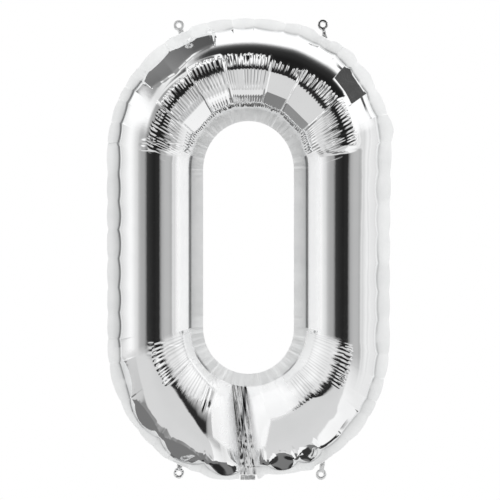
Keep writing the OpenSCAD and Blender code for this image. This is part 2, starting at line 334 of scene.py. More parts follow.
def tab_places(end, x, reach, lean):
    """A tab's fold, the directions along it and up its neck, and the middle of its ring."""
    along = edge_at(end, x + 0.5) - edge_at(end, x - 0.5)
    along /= np.linalg.norm(along)
    outwards = end * np.array([-along[1], along[0]])
    fold = edge_at(end, x) + outwards * (TAB_FOLD_D / 2 + JOINT_GAP)
    aim = np.array([math.sin(math.radians(lean)), end * math.cos(math.radians(lean))])
    return fold, along, aim, fold + aim * reach


def by_tabs(at):
    """1 at points [x, z] beside a tab's fold, where the edge is held straight, and 0 away."""
    near, far = (TAB_FOLD_L / 2 + beyond for beyond in HELD_BY_TAB)
    held = np.zeros(len(at))
    for end, x, reach, lean, _, _ in TABS.values():
        fold = tab_places(end, x, reach, lean)[0]
        held = np.maximum(held, step(far, near, np.linalg.norm(at - fold, axis=1)))
    return held


# ---- The film's lines round the balloon ----------------------------------------------------

def facets():
    """Width of the facet by the outer seam at each column, and how far it bulges over the seam."""
    col = COLUMNS
    facet, over_seam = np.zeros(col.count), np.zeros(col.count)
    for start, stop, width, bulge in LENSES:
        share = (col.lean_out - start) / (stop - start)
        inside = ~col.over & (share > 0) & (share < 1) & ~col.web
        shape = np.sin(np.pi * np.clip(share, 0, 1)) ** 0.6
        facet = np.where(inside, width * shape, facet)
        over_seam = np.where(inside, bulge * shape, over_seam)
    corner = smoothed(lookup(CORNER_FACETS, col.lean_out), 5)
    return np.where(col.top, corner, facet), over_seam


# Length of a petal whose puckers have their full size
WIDE_PETAL = 24
# How far out the edge and the seam lie at a pinch, and how much further at a petal's middle
EDGE_PINCH, EDGE_MIDDLE = -0.9, 1.3
SEAM_PINCH, SEAM_MIDDLE = 0.7, -1.9
# How far out the top's seam lies beside the straight sides, and how much further upright
TOP_SEAM_OUT, TOP_SEAM_RISE = 0.6, 2.2
# The tube's share of the edge's bulges
BULGE_SHARE = 0.55
# How far the flange stands out of its plane at the edge: as a curl, a twist, and a dish
CURL, CURL_DRAW, TWIST_DRAW, DISH = 1.7, 0.8, 1.5, 0.9


class Film:
    """What both panels share at each column: their lines, and the petals of the outer seam."""

    def __init__(self):
        col = COLUMNS
        self.share, length, self.number = petals()
        self.leaf = np.sin(np.pi * np.clip(self.share, 0, 1)) ** 0.55
        self.draw = np.random.default_rng(11).uniform(-1, 1, (3, self.number.max() + 1))
        self.size = np.clip(length / WIDE_PETAL, 0.3, 1.2)
        self.calm = np.where(col.web, 0, 1) * step(0, 0.25, col.share)
        self.held = by_tabs(col.outline(0.0))
        self.facet_w, over_seam = facets()
        bulge = self.calm * np.select(
            [col.left_side, col.right_side, col.top],
            [-0.8 + 0.5 * col.f, -0.8 * col.f + 1.2 * (1 - col.f) ** 6,
             lookup(TOP_BULGES, col.lean_out)], lookup(BOTTOM_BULGES, col.lean_out))
        seam, self.hole_seam, self.hole_edge = (col.outline(EDGE_FLANGE_W),
                                                col.hole(HOLE_FLANGE_W), col.hole(0))
        self.outwards = seam - self.hole_seam
        self.outwards /= np.linalg.norm(self.outwards, axis=1)[:, None]
        edge_shift = bulge + self.calm * self.size * (EDGE_MIDDLE * self.leaf + EDGE_PINCH)
        edge_shift = edge_shift * (1 - self.held) + np.minimum(edge_shift, -0.1) * self.held
        middle = SEAM_MIDDLE - 0.5 * self.draw[0][self.number]
        seam_shift = self.calm * self.size * (SEAM_PINCH + middle * self.leaf)
        upright = np.cos(np.radians(col.lean_out)) ** 2
        out = self.calm * (TOP_SEAM_OUT + TOP_SEAM_RISE * upright)
        seam_shift = seam_shift + np.where(col.top, out, 0)
        self.seam_shift = np.where(over_seam > 0, over_seam, seam_shift)
        edge = col.outline(np.where(col.web, NECK_RECESS, 0.0))
        self.edge = edge + self.outwards * edge_shift[:, None]
        self.smooth_seam = seam + self.outwards * (BULGE_SHARE * smoothed(bulge, 41))[:, None]
        self.seam = self.smooth_seam + self.outwards * self.seam_shift[:, None]


FILM = Film()


def flange_wave(v):
    """How far the outer seam stands out of its plane, at v from 0 at the tube to 1 at the edge."""
    curl = CURL + CURL_DRAW * FILM.draw[1][FILM.number]
    twist = TWIST_DRAW * FILM.draw[2][FILM.number] * (FILM.share - 0.5)
    dish = DISH * FILM.leaf - 0.5
    wave = v * (curl + twist) * FILM.size + 1.1 * dish * v * (1.6 - v)
    return FILM.calm * wave * (1 - FILM.held * v)


# Waves of the hole's seam: height and length of the ripples and of the broad waves, and height of
# the crinkles round its ends and their width in degrees
HOLE_RIPPLE, HOLE_BROAD, HOLE_CRINKLE = (0.25, 2.1), (0.9, 14), (0.35, 2.4)


def hole_wave(v, at):
    """How far the hole's seam stands out of its plane, at v from 0 at the tube to 1 at the hole."""
    col = COLUMNS
    ripple, broad = (height * lattice_noise(at[:, 0] / size, at[:, 1] / size, seed)
                     for (height, size), seed in ((HOLE_RIPPLE, 31), (HOLE_BROAD, 32)))
    height, size = HOLE_CRINKLE
    crinkle = lattice_noise(col.lean_in / size, col.part * 9.0, 33)
    crinkle = height * np.where(col.top | col.quarters, crinkle, 0)
    wave = v * (ripple + broad) + crinkle * (1 - 0.5 * v) * min(1, 6 * v)
    return np.where(col.web, 0, 1) * step(0, 0.3, col.share) * wave


# The web's folds: heights between which they lean over to the left, and how far they reach to
# each side of their middle
WEB_FOLDS_Z, WEB_FOLDS_HALF_W = (-192, -120), 7.4


def web_wave(at):
    """Folds that run up the flat web, at points [x, z]."""
    x, z = at[:, 0], at[:, 1]
    up = (z - WEB_FOLDS_Z[0]) / (WEB_FOLDS_Z[1] - WEB_FOLDS_Z[0])
    middle = WEB_OUTER_X + (WEB_HOLE_X - WEB_OUTER_X) * np.clip(up, 0, 1) ** 1.5
    inside = 1 - np.clip(np.abs(x - middle) / WEB_FOLDS_HALF_W, 0, 1) ** 3
    fine = crumple((x - middle) / 1.5, z / 5, 45) * step(-150, -175, z)
    folds = crumple((x - middle) / 2.2, z / 60, 41) + 0.5 * fine
    return 0.6 * inside * band(-206, -200, -121, -112, z) * folds


def web_share(at):
    """The web's folds, at a point [x, z] of each column, and nothing off the web."""
    return np.where(COLUMNS.web, web_wave(at), 0)


# ---- The form of the tube ------------------------------------------------------------------

def round_bottom(points, elsewhere, span):
    """A value for each column from (lean, value) points round the bottom, evened over a span."""
    return np.where(COLUMNS.over, elsewhere, smoothed(lookup(points, COLUMNS.lean_out), span))


CREST = round_bottom(BOTTOM_CREST, 0.5, 7)
OUTER_CURVE = round_bottom(BOTTOM_OUTER_CURVE, 2.0, 31)
SAG = round_bottom(BOTTOM_SAG, 0.0, 31)
HOLE_SLOPE = np.where(COLUMNS.over, 1.0, lookup(BOTTOM_HOLE_SLOPE, COLUMNS.lean_in))


def dome(across):
    """Height over the tube as a share of its crest's, at a share of the way from edge to hole."""
    outer = across < CREST
    way = np.where(outer, (CREST - across) / CREST, (across - CREST) / (1 - CREST))
    curve = np.where(outer, OUTER_CURVE, 2.0)
    height = np.clip(1 - way ** curve, 0, 1) ** (1 / curve)
    start = np.clip(HOLE_SLOPE, 0.01, 0.999)
    straight = np.sqrt(1 - start ** 2) * (1 - way) / (1 - start)
    height = np.where(outer | (HOLE_SLOPE > 0.99), height, np.minimum(height, straight))
    return height - np.where(outer, SAG * way * (1 - way) ** 2, 0)


def flats(t):
    """Height at t degrees, as dome gives, over the flat facets of the top fan's panels."""
    height = np.full(COLUMNS.count, math.sin(math.radians(t)))
    way = 1 - math.cos(math.radians(t))
    for low, high, bends in zip(TOP_FAN[:-1], TOP_FAN[1:], TOP_FACETS):
        inside = (COLUMNS.lean_in >= low) & (COLUMNS.lean_in < high)
        ways = [1 - math.cos(math.radians(b)) for b in bends]
        tall = [math.sin(math.radians(b)) for b in bends]
        if ways[0] < way < ways[-1]:
            height = np.where(inside, np.interp(way, ways, tall), height)
    return height


# How fast the seam's shift fades out over the tube, as powers: on the top, where the film bulges
# over the seam, and elsewhere
TOP_FADE, BULGE_FADE, PLAIN_FADE = 22, 9, 14


def seam_shift_at(across):
    """The seam's shift that is left at a share of the way from edge to hole."""
    fade = np.where(COLUMNS.top, TOP_FADE, np.where(FILM.seam_shift > 0, BULGE_FADE, PLAIN_FADE))
    return FILM.seam_shift * (1 - across) ** fade


def bulged(across):
    """How much longer the film is than the plain tube, where it bulges over the outer seam."""
    fade = np.where(COLUMNS.top, TOP_FADE, BULGE_FADE)
    return np.maximum(FILM.seam_shift, 0) * (1 - (1 - across) ** fade)


def facet(across, width, depth):
    """Height of the flat facet by the outer seam at each column, far over the film elsewhere."""
    wide = np.maximum(FILM.facet_w, np.where(COLUMNS.web, 0, 1.1 * FILM.leaf))
    share = np.clip(wide / width, 0.002, 0.45)
    corner = COLUMNS.top & (FILM.facet_w > 1)
    slope = depth * dome(share) / (share * width + np.where(corner, CORNER_START, bulged(share)))
    # The corner facets run flat through the petals of the seam, and rise steeply from it
    inward = across * width - seam_shift_at(across)
    dent = COLUMNS.top & (np.abs(COLUMNS.lean_out - RIGHT_DENT_LEAN) < RIGHT_DENT_HALF)
    plane = np.where(dent, RIGHT_DENT_SLOPE, slope) * (inward + CORNER_START)
    flat = slope * (across * width + bulged(across))
    rise = CORNER_RISE * (inward + FILM.seam_shift)
    return np.where(corner | dent, np.minimum(plane, rise), flat)


def fan_flatness():
    """How far each column of a flat panel of the fan lies inside an arch with a radius of 1."""
    col, values = COLUMNS, []
    for creases in (TOP_FAN, BOTTOM_FAN):
        creases = np.array(creases, float)
        number = np.searchsorted(creases, col.lean_in, side="right") - 1
        number = np.clip(number, 0, len(creases) - 2)
        low, high = creases[number], creases[number + 1]
        share = (col.lean_in - (low + high) / 2) / ((high - low) / 2)
        half = np.radians((high - low) / 2)
        values.append(np.cos(half * share) - np.cos(half))
    return np.where(col.top | col.quarters, np.where(col.top, *values), 0)


FAN_FLATNESS = fan_flatness()
# The bottom's panels are flattened less than the top's
BOTTOM_FLATNESS = 0.35


def fan_radius(at):
    """How far points [x, z] are from the middle of their end of the hole."""
    return np.hypot(at[:, 0], at[:, 1] - np.where(COLUMNS.over, HOLE_Z, -HOLE_Z))


def fan_inset(at, t):
    """How far a panel of the fan lies inside the round arch, which makes it flat across."""
    weight = step(93, 112, t) * (1 - 0.75 * step(158, 180, t)) * COLUMNS.share
    return fan_radius(at) * FAN_FLATNESS * weight * np.where(COLUMNS.top, 1.0, BOTTOM_FLATNESS)


# ---- Gathers and folds ---------------------------------------------------------------------

# Gathers in half a turn, and the numbers from which the bottom's left and right ones are drawn
TOP_GATHERS, BOTTOM_GATHERS = 84, 80
LEFT_DRAWS, RIGHT_DRAWS, ALL_DRAWS = 200, 400, 1024
# Painted shade under the denser gathers of the two panels left of the middle one, by lean
PAINTED_FOOT_SHADE = ((-60, 0), (-58, 0.55), (-35, 0.55), (-33, 0.3), (-15, 0.3), (-13, 0))
TOP_RIDGE_H, BOTTOM_RIDGE_H = 0.7, 0.35
# Heights between which the gathers and the flat panels of the top's fan set in
GATHERS_FROM, PANELS_FROM = (81.5, 85), (79, 88)


class Gathers:
    """Fine gathers of the film on the tube's inner side, square to the arch."""

    def __init__(self, seed):
        col = COLUMNS
        height = col.hole(HOLE_FLANGE_W)[:, 1]
        # The gathers go on for a little way up and down the straight sides
        beyond = (np.abs(height) - HOLE_Z) / 2.6
        share = (col.lean_in + 90) / 180
        turns = np.select(
            [col.top, col.left_quarter, col.right_quarter, col.left_side & col.over,
             col.left_side, col.right_side & col.over, col.right_side],
            [share * TOP_GATHERS, LEFT_DRAWS + share * BOTTOM_GATHERS,
             RIGHT_DRAWS + (90 - col.lean_in) / 180 * BOTTOM_GATHERS, beyond,
             LEFT_DRAWS + beyond, TOP_GATHERS - beyond, RIGHT_DRAWS + beyond], 0.0)
        turns = turns + 0.6 * lattice_noise(turns * 0.37, 0 * turns, seed)
        number = np.floor(turns).astype(int)
        draw = np.random.default_rng(seed).uniform(-1, 1, (5, ALL_DRAWS))
        self.draw = draw[:, number % ALL_DRAWS]
        self.wave = 0.5 - np.abs(2 * (turns - number) - 1)
        self.reach = np.where(col.sides | col.web, 0, step(90, 84, np.abs(col.lean_in)))
        self.reach = self.reach * step(0.2, 1, col.share)
        self.corner = ~col.over * step(36, 39, np.abs(col.lean_in)) * self.reach
        self.middle = col.top * step(24.5, 23, np.abs(col.lean_in + 10.5))
        self.panel = self.by_panel()

    def by_panel(self):
        """The panel values at each column, softened where two panels meet."""
        values = []
        for creases, panels in ((TOP_FAN, TOP_PANELS), (BOTTOM_FAN, BOTTOM_PANELS)):
            middles, table = [], []
            for low, high, panel in zip(creases[:-1], creases[1:], panels):
                middles += [low + 0.8, high - 0.8]
                table += [panel, panel]
            values.append([np.interp(COLUMNS.lean_in, middles, column) for column in zip(*table)])
        return [np.where(COLUMNS.over, top, low) for top, low in zip(*values)]

    def relief(self, t):
        """Height of the gathers at t degrees across the tube, and the painted shade of the film's
        creases.
        """
        start, crest, teeth, lip, streaks, grain, sparse = self.panel
        a, b, c, d, _ = self.draw
        lean = COLUMNS.lean_in
        begin = start + 5.5 * np.clip(lip, 0, 1) + 1.6 * a
        first = step(begin, begin + 2.5, t) * (0.5 + 0.5 * step(crest, start + 2, t))
        first = teeth * (1 + 0.45 * b) * first * step(crest + 1.5, crest - 2, t)
        stand = lip * np.clip((t - start) / 9.5, 0, 1)
        inner = step(crest + 1 + 2.5 * b, crest + 6, t) * step(113 + 4 * c, 106, t)
        second = streaks * (1 + 0.6 * c) * inner
        second = second + self.middle * 0.3 * (band(111, 113, 118, 121, t)
                                               + band(129, 133, 145, 148, t))
        outer_panels = COLUMNS.top * step(57, 60, np.abs(lean))
        second = second + outer_panels * 0.2 * band(112, 120, 145, 152, t)
        third = grain * (1 + 0.8 * d) * band(145, 151, 172, 180, t)
        ridge = self.wave * (1 - sparse) + sparse * np.clip(2.2 * self.wave - 0.2, 0, 1)
        height = (ridge * first + self.wave * (second + third)) * self.reach
        height = height + stand * self.reach * step(118, 96, t)
        # Painted shade, darkening the film's colour: dark teeth in the hollows between the gathers
        # inside the crest, a dark foot under the denser gathers, and dark lines in the bottom's
        # corner panels
        dark = step(1.6, 2.6, streaks * 10 * (0.6 + 0.8 * np.abs(c))) * step(115, 107, t)
        dark = dark * step(crest + 1, crest + 7, t) * self.reach * (0.35 + 0.4 * np.abs(d))
        foot = lookup(PAINTED_FOOT_SHADE, lean) * COLUMNS.top * band(106, 112, 117.5, 118.5, t)
        lines = step(0.05, -0.3, self.wave) * (0.12 + 0.25 * np.abs(c)) * self.corner
        painted_crease_shade = np.maximum(foot * (0.8 + 0.4 * self.wave), lines * band(103, 108, 138, 146, t))
        return height, np.maximum(step(0.1, -0.42, self.wave) * dark, painted_crease_shade)

    def fan_ridges(self, t, at):
        """Narrow ridges of film along the creases of the fan."""
        radius, height = fan_radius(at), 0
        for creases, chosen, tall in ((TOP_FAN, COLUMNS.top, TOP_RIDGE_H),
                                      (BOTTOM_FAN, ~COLUMNS.over,
                                       BOTTOM_RIDGE_H * step(97, 103, t))):
            for lean in creases[1:-1]:
                away = np.radians(np.abs(COLUMNS.lean_in - lean)) * radius
                height = height + np.where(chosen, tall * np.clip(1 - away / 1.5, 0, 1), 0)
        return height * band(70, 78, 158, 168, t) * COLUMNS.share


GATHERS = Gathers(5)


def side_folds(t, at):
    """Short level folds across the tube, where the gathers of each end meet the straight sides."""
    x, z = at[:, 0], at[:, 1]
    height = 0
    for left, level, start, stop, seed in ((True, 90, 70, 150, 81), (True, -85, 82, 150, 84),
                                           (False, 92, 70, 150, 87), (False, -88, 84, 150, 90)):
        near = step(6.5, 3.5, np.abs(z - level)) * ((x < 0) == left)
        fold = crumple(z / 2.4 + 0.02 * x, x / 30, seed, 1)
        height = height + 0.5 * fold * near * band(start - 4, start + 3, stop - 20, stop + 6, t)
    # Long soft folds up the outside of the right tube
    soft = lattice_noise(x / 3.4, z / 55, 95) * band(12, 22, 52, 64, t)
    return height + np.where(COLUMNS.right_side, 0.16 * soft, 0)


def grain(t, at):
    """Fine crushed film on the steep side next to the hole's seam, round the top."""
    fine = crumple(at[:, 0] / 1.7, at[:, 1] / 1.7, 62, 2)
    return np.where(COLUMNS.top, 0.5 * fine * band(145, 151, 170, 180, t), 0)


def wrinkles(t):
    """Wrinkles of the gathered corner panels inside the crest at the bottom."""
    lean = COLUMNS.lean_in
    low = np.where(lean < 0, 38, 27)
    edge = band(low - 1, low + 2, 86, 90, np.abs(lean)) * band(96, 104, 150, 176, t)
    fold = crumple(lean / 2.1, t / 40 + 0 * lean, 52, 2)
    fold = fold + 0.4 * crumple(lean / 1.1, t / 26 + 0 * lean, 56, 2)
    return np.where(COLUMNS.quarters, 0.05 * fold * edge, 0)


def arch(t, plain=False):
    """One row over the tube at t degrees: points [x, z], height, and the painted shade of its
    creases.

    A plain row has the form of the tube, without its gathers and folds.
    """
    col, sine, cosine = COLUMNS, math.sin(math.radians(t)), math.cos(math.radians(t))
    a, b = FILM.smooth_seam, FILM.hole_seam
    across = (1 - cosine) / 2
    at = a + (b - a) * across + FILM.outwards * seam_shift_at(across)[:, None]
    width = np.linalg.norm(b - a, axis=1)
    tilt = np.cos(np.radians(col.lean_out)) ** 2
    depth = (SIDE_DEPTH + (END_DEPTH - SIDE_DEPTH) * tilt) / 2
    height = depth * col.closed * np.where(col.top, flats(t), dome(across))
    height = np.minimum(height, facet(across, width, depth) * col.closed)
    if plain:
        return at, height, 0 * height
    relief, painted_crease_shade = GATHERS.relief(t)
    uneven = at[:, 1] + 0.8 * GATHERS.draw[4]
    level = np.where(col.over, step(*GATHERS_FROM, uneven), 1)
    relief = (relief + GATHERS.fan_ridges(t, at)) * level + wrinkles(t) + side_folds(t, at)
    relief = relief + grain(t, at) * level
    inset = fan_inset(at, t) * np.where(col.over, step(*PANELS_FROM, at[:, 1]), 1)
    at = at + FILM.outwards * (relief * cosine - inset)[:, None]
    return at, height + relief * sine, painted_crease_shade * level


# ---- Where the film is dull, and painted shade in its creases ------------------------------

# From this lean on, the hole's seam round the top counts as a straight side
UPRIGHT_LEAN = 77
# Painted shade in the creases along the outer weld round the top, and along the hole's weld below
PAINTED_TOP_SEAM_SHADE = ((-90, 0.6), (-57, 0.6), (-54, 0), (-12, 0), (-8, 0.25), (28, 0.25), (32, 0.6),
                 (47, 0.6), (67, 0.6), (70, 0.5), (90, 0.35))
PAINTED_BOTTOM_HOLE_SHADE = ((-68, 0), (-60, 0.8), (-46, 0.8), (-40, 0), (34, 0), (40, 0.6), (52, 0.6),
                    (60, 0))


def beside_hole():
    """Where the hole's seam is straight or nearly so."""
    return COLUMNS.sides | (COLUMNS.over & (np.abs(COLUMNS.lean_in) > UPRIGHT_LEAN))


def gathered(t):
    """How far the film is dulled by gathers, inside the bottom's crest and beside the hole."""
    lean = COLUMNS.lean_in
    uneven = np.where(lean < 0, GATHERS.corner, step(29, 33, lean))
    start = lookup(DULL_START, lean) + (4 * GATHERS.wave + 3 * GATHERS.draw[0]) * uneven
    amount = lookup(DULL_SHARE, lean) * step(start - 1, start + 4, t)
    by_hole = np.where(beside_hole(), 0.9 * band(126, 134, 164, 170, t), 0)
    return np.where(COLUMNS.quarters, amount, by_hole)


def painted_seam_shade(t):
    """Painted shade in the crease where the tube rises from the outer weld."""
    col = COLUMNS
    lean = col.lean_out
    drawn = np.where(lean < -60, 0.6, 0.35)
    drawn = np.where(col.over, lookup(PAINTED_TOP_SEAM_SHADE, lean), drawn)
    broken = step(-0.5, 0.3, lattice_noise(np.arange(col.count) / 9.0, 0.0 * lean, 47))
    left = (lean < -56) & (col.over | col.left_side)
    drawn = np.where(left, 1.0, drawn * (0.4 + 0.6 * broken))
    return drawn * np.where(col.web, 0, 1) * (t < np.where(left, 19, 12))


def painted_hole_seam_shade(t):
    """Painted shade in the crease along the hole's weld, up the sides and along parts of the
    bottom.
    """
    drawn = lookup(PAINTED_BOTTOM_HOLE_SHADE, COLUMNS.lean_in) * (t > 170)
    drawn = np.where(COLUMNS.over | COLUMNS.web, 0, drawn)
    return np.where(beside_hole(), 0.95 * (t > 163), drawn)


def painted_web_crease_shade(at):
    """Painted shade in the creases of the flat web at points [x, z]: fine lines, and a dark fold up
    its middle.
    """
    x, z = at[:, 0], at[:, 1]
    lines = step(0.3, 0.7, lattice_noise(x / 1.1, z / 26, 43))
    off = np.abs(x + 4.3 - 0.06 * (z + 145))
    core = step(2.0, 0.6, off + 0.5 * lattice_noise(x, z / 5, 44)) * step(-172, -160, z)
    return np.maximum(0.3 * lines, 0.8 * core) * step(-116, -124, z)


# ---- Rows across the tube ------------------------------------------------------------------

# The rows' shares of the way from the tube to the edge, their degrees over the tube, their shares
# of the way from the tube to the hole, and the inside's degrees on the way back
EDGE_ROWS = (1, 0.6, 0.15)
ARCH_ROWS = np.concatenate([np.linspace(0, 48, 11)[:-1], np.linspace(48, 64, 5)[:-1],
                            np.linspace(64, 96, 17)[:-1], np.linspace(96, 147, 18)[:-1],
                            np.linspace(147, 180, 8)])
HOLE_ROWS = (0.12, 0.45, 1)
LINING_ROWS = (150, 90, 30)
# Height of the panel's inside as a share of its outside's, and its depth in the welded web
LINING_H = 0.86
WEB_LINING_Y = 0.1


def edge_row(v, depth):
    """Points and depths of a row of the outer seam, at v from 0 at the tube to 1 at the edge."""
    at = FILM.seam + (FILM.edge - FILM.seam) * v
    return at, depth + flange_wave(v) + web_share(at)


def hole_row(v, depth):
    """Points and depths of a row of the hole's seam, at v from 0 at the tube to 1 at the hole."""
    at = FILM.hole_seam + (FILM.hole_edge - FILM.hole_seam) * v
    return at, depth + hole_wave(v, at) + web_share(at)


def outside_rows(side):
    """Rows of the panel's outside, from its edge over the tube to the hole, and their painted
    shade.
    """
    web, face = COLUMNS.web, side * OUTER_FACE
    rows = [edge_row(v, face) for v in EDGE_ROWS]
    creases = [np.where(web, painted_web_crease_shade(at), painted_seam_shade(0) * step(0.2, 0, v))
               for v, (at, _) in zip(EDGE_ROWS, rows)]
    for t in ARCH_ROWS:
        at, height, painted_crease_shade = arch(t)
        rows.append((at, side * (OUTER_FACE + height) + web_share(at)))
        painted_crease_shade = np.maximum(painted_crease_shade, np.maximum(painted_seam_shade(t), painted_hole_seam_shade(t)))
        creases.append(np.where(web, painted_web_crease_shade(at), painted_crease_shade))
    return rows + [hole_row(v, face) for v in HOLE_ROWS], creases


def lining_rows(side):
    """Rows of the panel's inside, from the hole back to its edge."""
    inside = np.where(COLUMNS.web, WEB_LINING_Y, INNER_FACE)
    rows = [hole_row(v, side * inside) for v in (1, 0)]
    for t in LINING_ROWS:
        at, height, _ = arch(t, plain=True)
        rows.append((at, side * (inside + LINING_H * height) + web_share(at)))
    return rows + [edge_row(v, side * inside) for v in (0, 1)]


# ---- Meshes --------------------------------------------------------------------------------

def placed(name, data):
    """An object of the scene that holds a mesh, a lamp or a camera."""
    made = bpy.data.objects.new(name, data)
    bpy.context.scene.collection.objects.link(made)
    return made


def new_piece(node, mesh, materials, body, kind="film", sharp=40):
    """A mesh piece that rides on a body and stands for one of the solids."""
    for material in materials:
        mesh.materials.append(material)
    piece = placed(f"{node}_{kind}", mesh)
    mesh.shade_smooth()
    mesh.set_sharp_from_angle(angle=math.radians(sharp))
    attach(piece, body)
    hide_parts(node)


# The order of a quad's corners that turns it over
TURNED = [0, 3, 2, 1]


def grid_quads(columns, rows, columns_wrap=True, rows_wrap=True):
    """Quads between the points of a grid, which may wrap round both ways."""
    i, j = np.meshgrid(np.arange(columns if columns_wrap else columns - 1),
                       np.arange(rows if rows_wrap else rows - 1), indexing="ij")
    i2, j2 = (i + 1) % columns, (j + 1) % rows
    corners = [i * rows + j, i * rows + j2, i2 * rows + j2, i2 * rows + j]
    return np.stack(corners, -1).reshape(-1, 4)


def quad_mesh(name, verts, quads):
    mesh = bpy.data.meshes.new(name)
    mesh.vertices.add(len(verts))
    mesh.vertices.foreach_set("co", verts.astype(np.float32).reshape(-1))
    mesh.loops.add(quads.size)
    mesh.loops.foreach_set("vertex_index", quads.astype(np.int32).reshape(-1))
    mesh.polygons.add(len(quads))
    mesh.polygons.foreach_set("loop_start", np.arange(0, quads.size, 4, dtype=np.int32))
    mesh.update(calc_edges=True)
    mesh.validate()
    return mesh


def ring_mesh(name, rows, side):
    """A closed shell whose rows run round the balloon."""
    grid = np.stack([np.column_stack([at[:, 0], y, at[:, 1]]) for at, y in rows], 1)
    quads = grid_quads(*grid.shape[:2])
    return quad_mesh(name, grid.reshape(-1, 3) * MM, quads[:, TURNED] if side == FRONT else quads)


def face_outwards(mesh):
    """Turns a closed mesh's faces outwards."""
    work = bmesh.new()
    work.from_mesh(mesh)
    bmesh.ops.recalc_face_normals(work, faces=work.faces)
    work.to_mesh(mesh)
    work.free()


def foil_panel(name, side, *materials):
    """One foil panel: a thin closed shell, in the materials of its tube, its edge and its hole."""
    rows, creases = outside_rows(side)
    outside, tube = len(rows), len(EDGE_ROWS)
    rows += lining_rows(side)
    plain = [np.zeros(COLUMNS.count)]
    dull = plain * tube + [gathered(t) for t in ARCH_ROWS]
    mesh = ring_mesh(name, rows, side)
    row = np.tile(np.arange(len(rows)), COLUMNS.count)
    over_tube = row < tube + len(ARCH_ROWS) - 1
    number = np.select([row < tube, over_tube, row < outside], [1, 0, 2], 1)
    web = np.repeat(COLUMNS.web, len(rows)) & (row < tube)
    mesh.polygons.foreach_set("material_index", np.where(web, 0, number).astype(np.int32))
    # Painted shade in the creases, which darkens the film's colour, and how dull the gathered film
    # is
    for attribute, values in (("painted_crease_shade", creases), ("gathered", dull)):
        values = values + plain * (len(rows) - len(values))
        share = np.stack(values, 1).reshape(-1).astype(np.float32)
        mesh.attributes.new(attribute, "FLOAT", "POINT").data.foreach_set("value", share)
    new_piece(name, mesh, materials, "balloon")


# The fused layer's share of the room between the panels, and of the way to a free edge
SEALANT_SHARE, SEALANT_END = 0.94, 0.99


def seal_ring(name, row, material):
    """The fused layer between the panels, along one seam round the balloon."""
    half = SEALANT_SHARE * INNER_FACE
    rows = [row(v, side * half)
            for v, side in ((SEALANT_END, BACK), (0, BACK), (0, FRONT), (SEALANT_END, FRONT))]
    mesh = ring_mesh(name, rows, BACK)
    face_outwards(mesh)
    new_piece(name, mesh, [material], "balloon", "layer")


def slab(node, at, middle, thickness, material, body, kind="film"):
    """A thin closed sheet over a grid of [x, z] points, at a depth for each point."""
    n, m = middle.shape
    layers = [np.stack([at[..., 0], middle + side * thickness / 2, at[..., 1]], -1)
              for side in (FRONT, BACK)]
    verts = np.concatenate([layer.reshape(-1, 3) for layer in layers]) * MM
    front = grid_quads(n, m, False, False)[:, TURNED]
    faces = np.stack([front, front[:, ::-1] + n * m], 1).reshape(-1, 4)
    index = np.arange(n * m).reshape(n, m)
    rim = np.concatenate([index[:-1, 0], index[-1, :-1], index[:0:-1, -1], index[0, :0:-1]])
    after = np.roll(rim, -1)
    walls = np.stack([after, rim, rim + n * m, after + n * m], 1)
    mesh = quad_mesh(node, verts, np.concatenate([faces, walls]))
    face_outwards(mesh)
    new_piece(node, mesh, [material], body, kind)


def seals(sealant):
    """The three fused seams, following the waves of the film that hides them."""
    seal_ring("edge_heat_seal", edge_row, sealant)
    seal_ring("hole_heat_seal", hole_row, sealant)
    # Across the web, and on to the first column of the tube
    web = np.append(np.flatnonzero(COLUMNS.web), 0)
    share = np.linspace(0.01, 0.99, 40)[None, :, None]
    start, stop = FILM.smooth_seam[web][:, None], FILM.hole_seam[web][:, None]
    at = start + (stop - start) * share
    middle = web_wave(at.reshape(-1, 2)).reshape(at.shape[:2])
    slab("web_heat_seal", at, middle, 1.8 * INNER_FACE, sealant, "balloon",
         "layer")


# ---- Hanging tabs: a punched ring on a pinched and crumpled neck of film -------------------

# In metres, unlike the rest
TAB_VOXEL = 0.00024
TAB_NECK_HALF_T = 0.55
# Loops round the ring, up the neck and along the fold
RING_LOOPS, NECK_LOOPS, FOLD_LOOPS = 40, 12, 9


def tube_of_loops(loops, closed):
    """Points and faces of loops, which join up when closed, and are capped when not."""
    points = [p for loop in loops for p in loop]
    count = len(loops[0])
    faces = grid_quads(len(loops), count, columns_wrap=closed).tolist()
    if not closed:
        faces += [range(count - 1, -1, -1), range(len(points) - count, len(points))]
    return points, faces


def oval(middle, wide, half_w, half_t, points=14):
    """A loop of points round an oval, where wide is a direction [x, z] and thickness is along Y."""
    loop = []
    for k in range(points):
        a = 2 * math.pi * k / points
        across = half_w * math.cos(a)
        loop.append((middle[0] + wide[0] * across, half_t * math.sin(a),
                     middle[1] + wide[1] * across))
    return loop


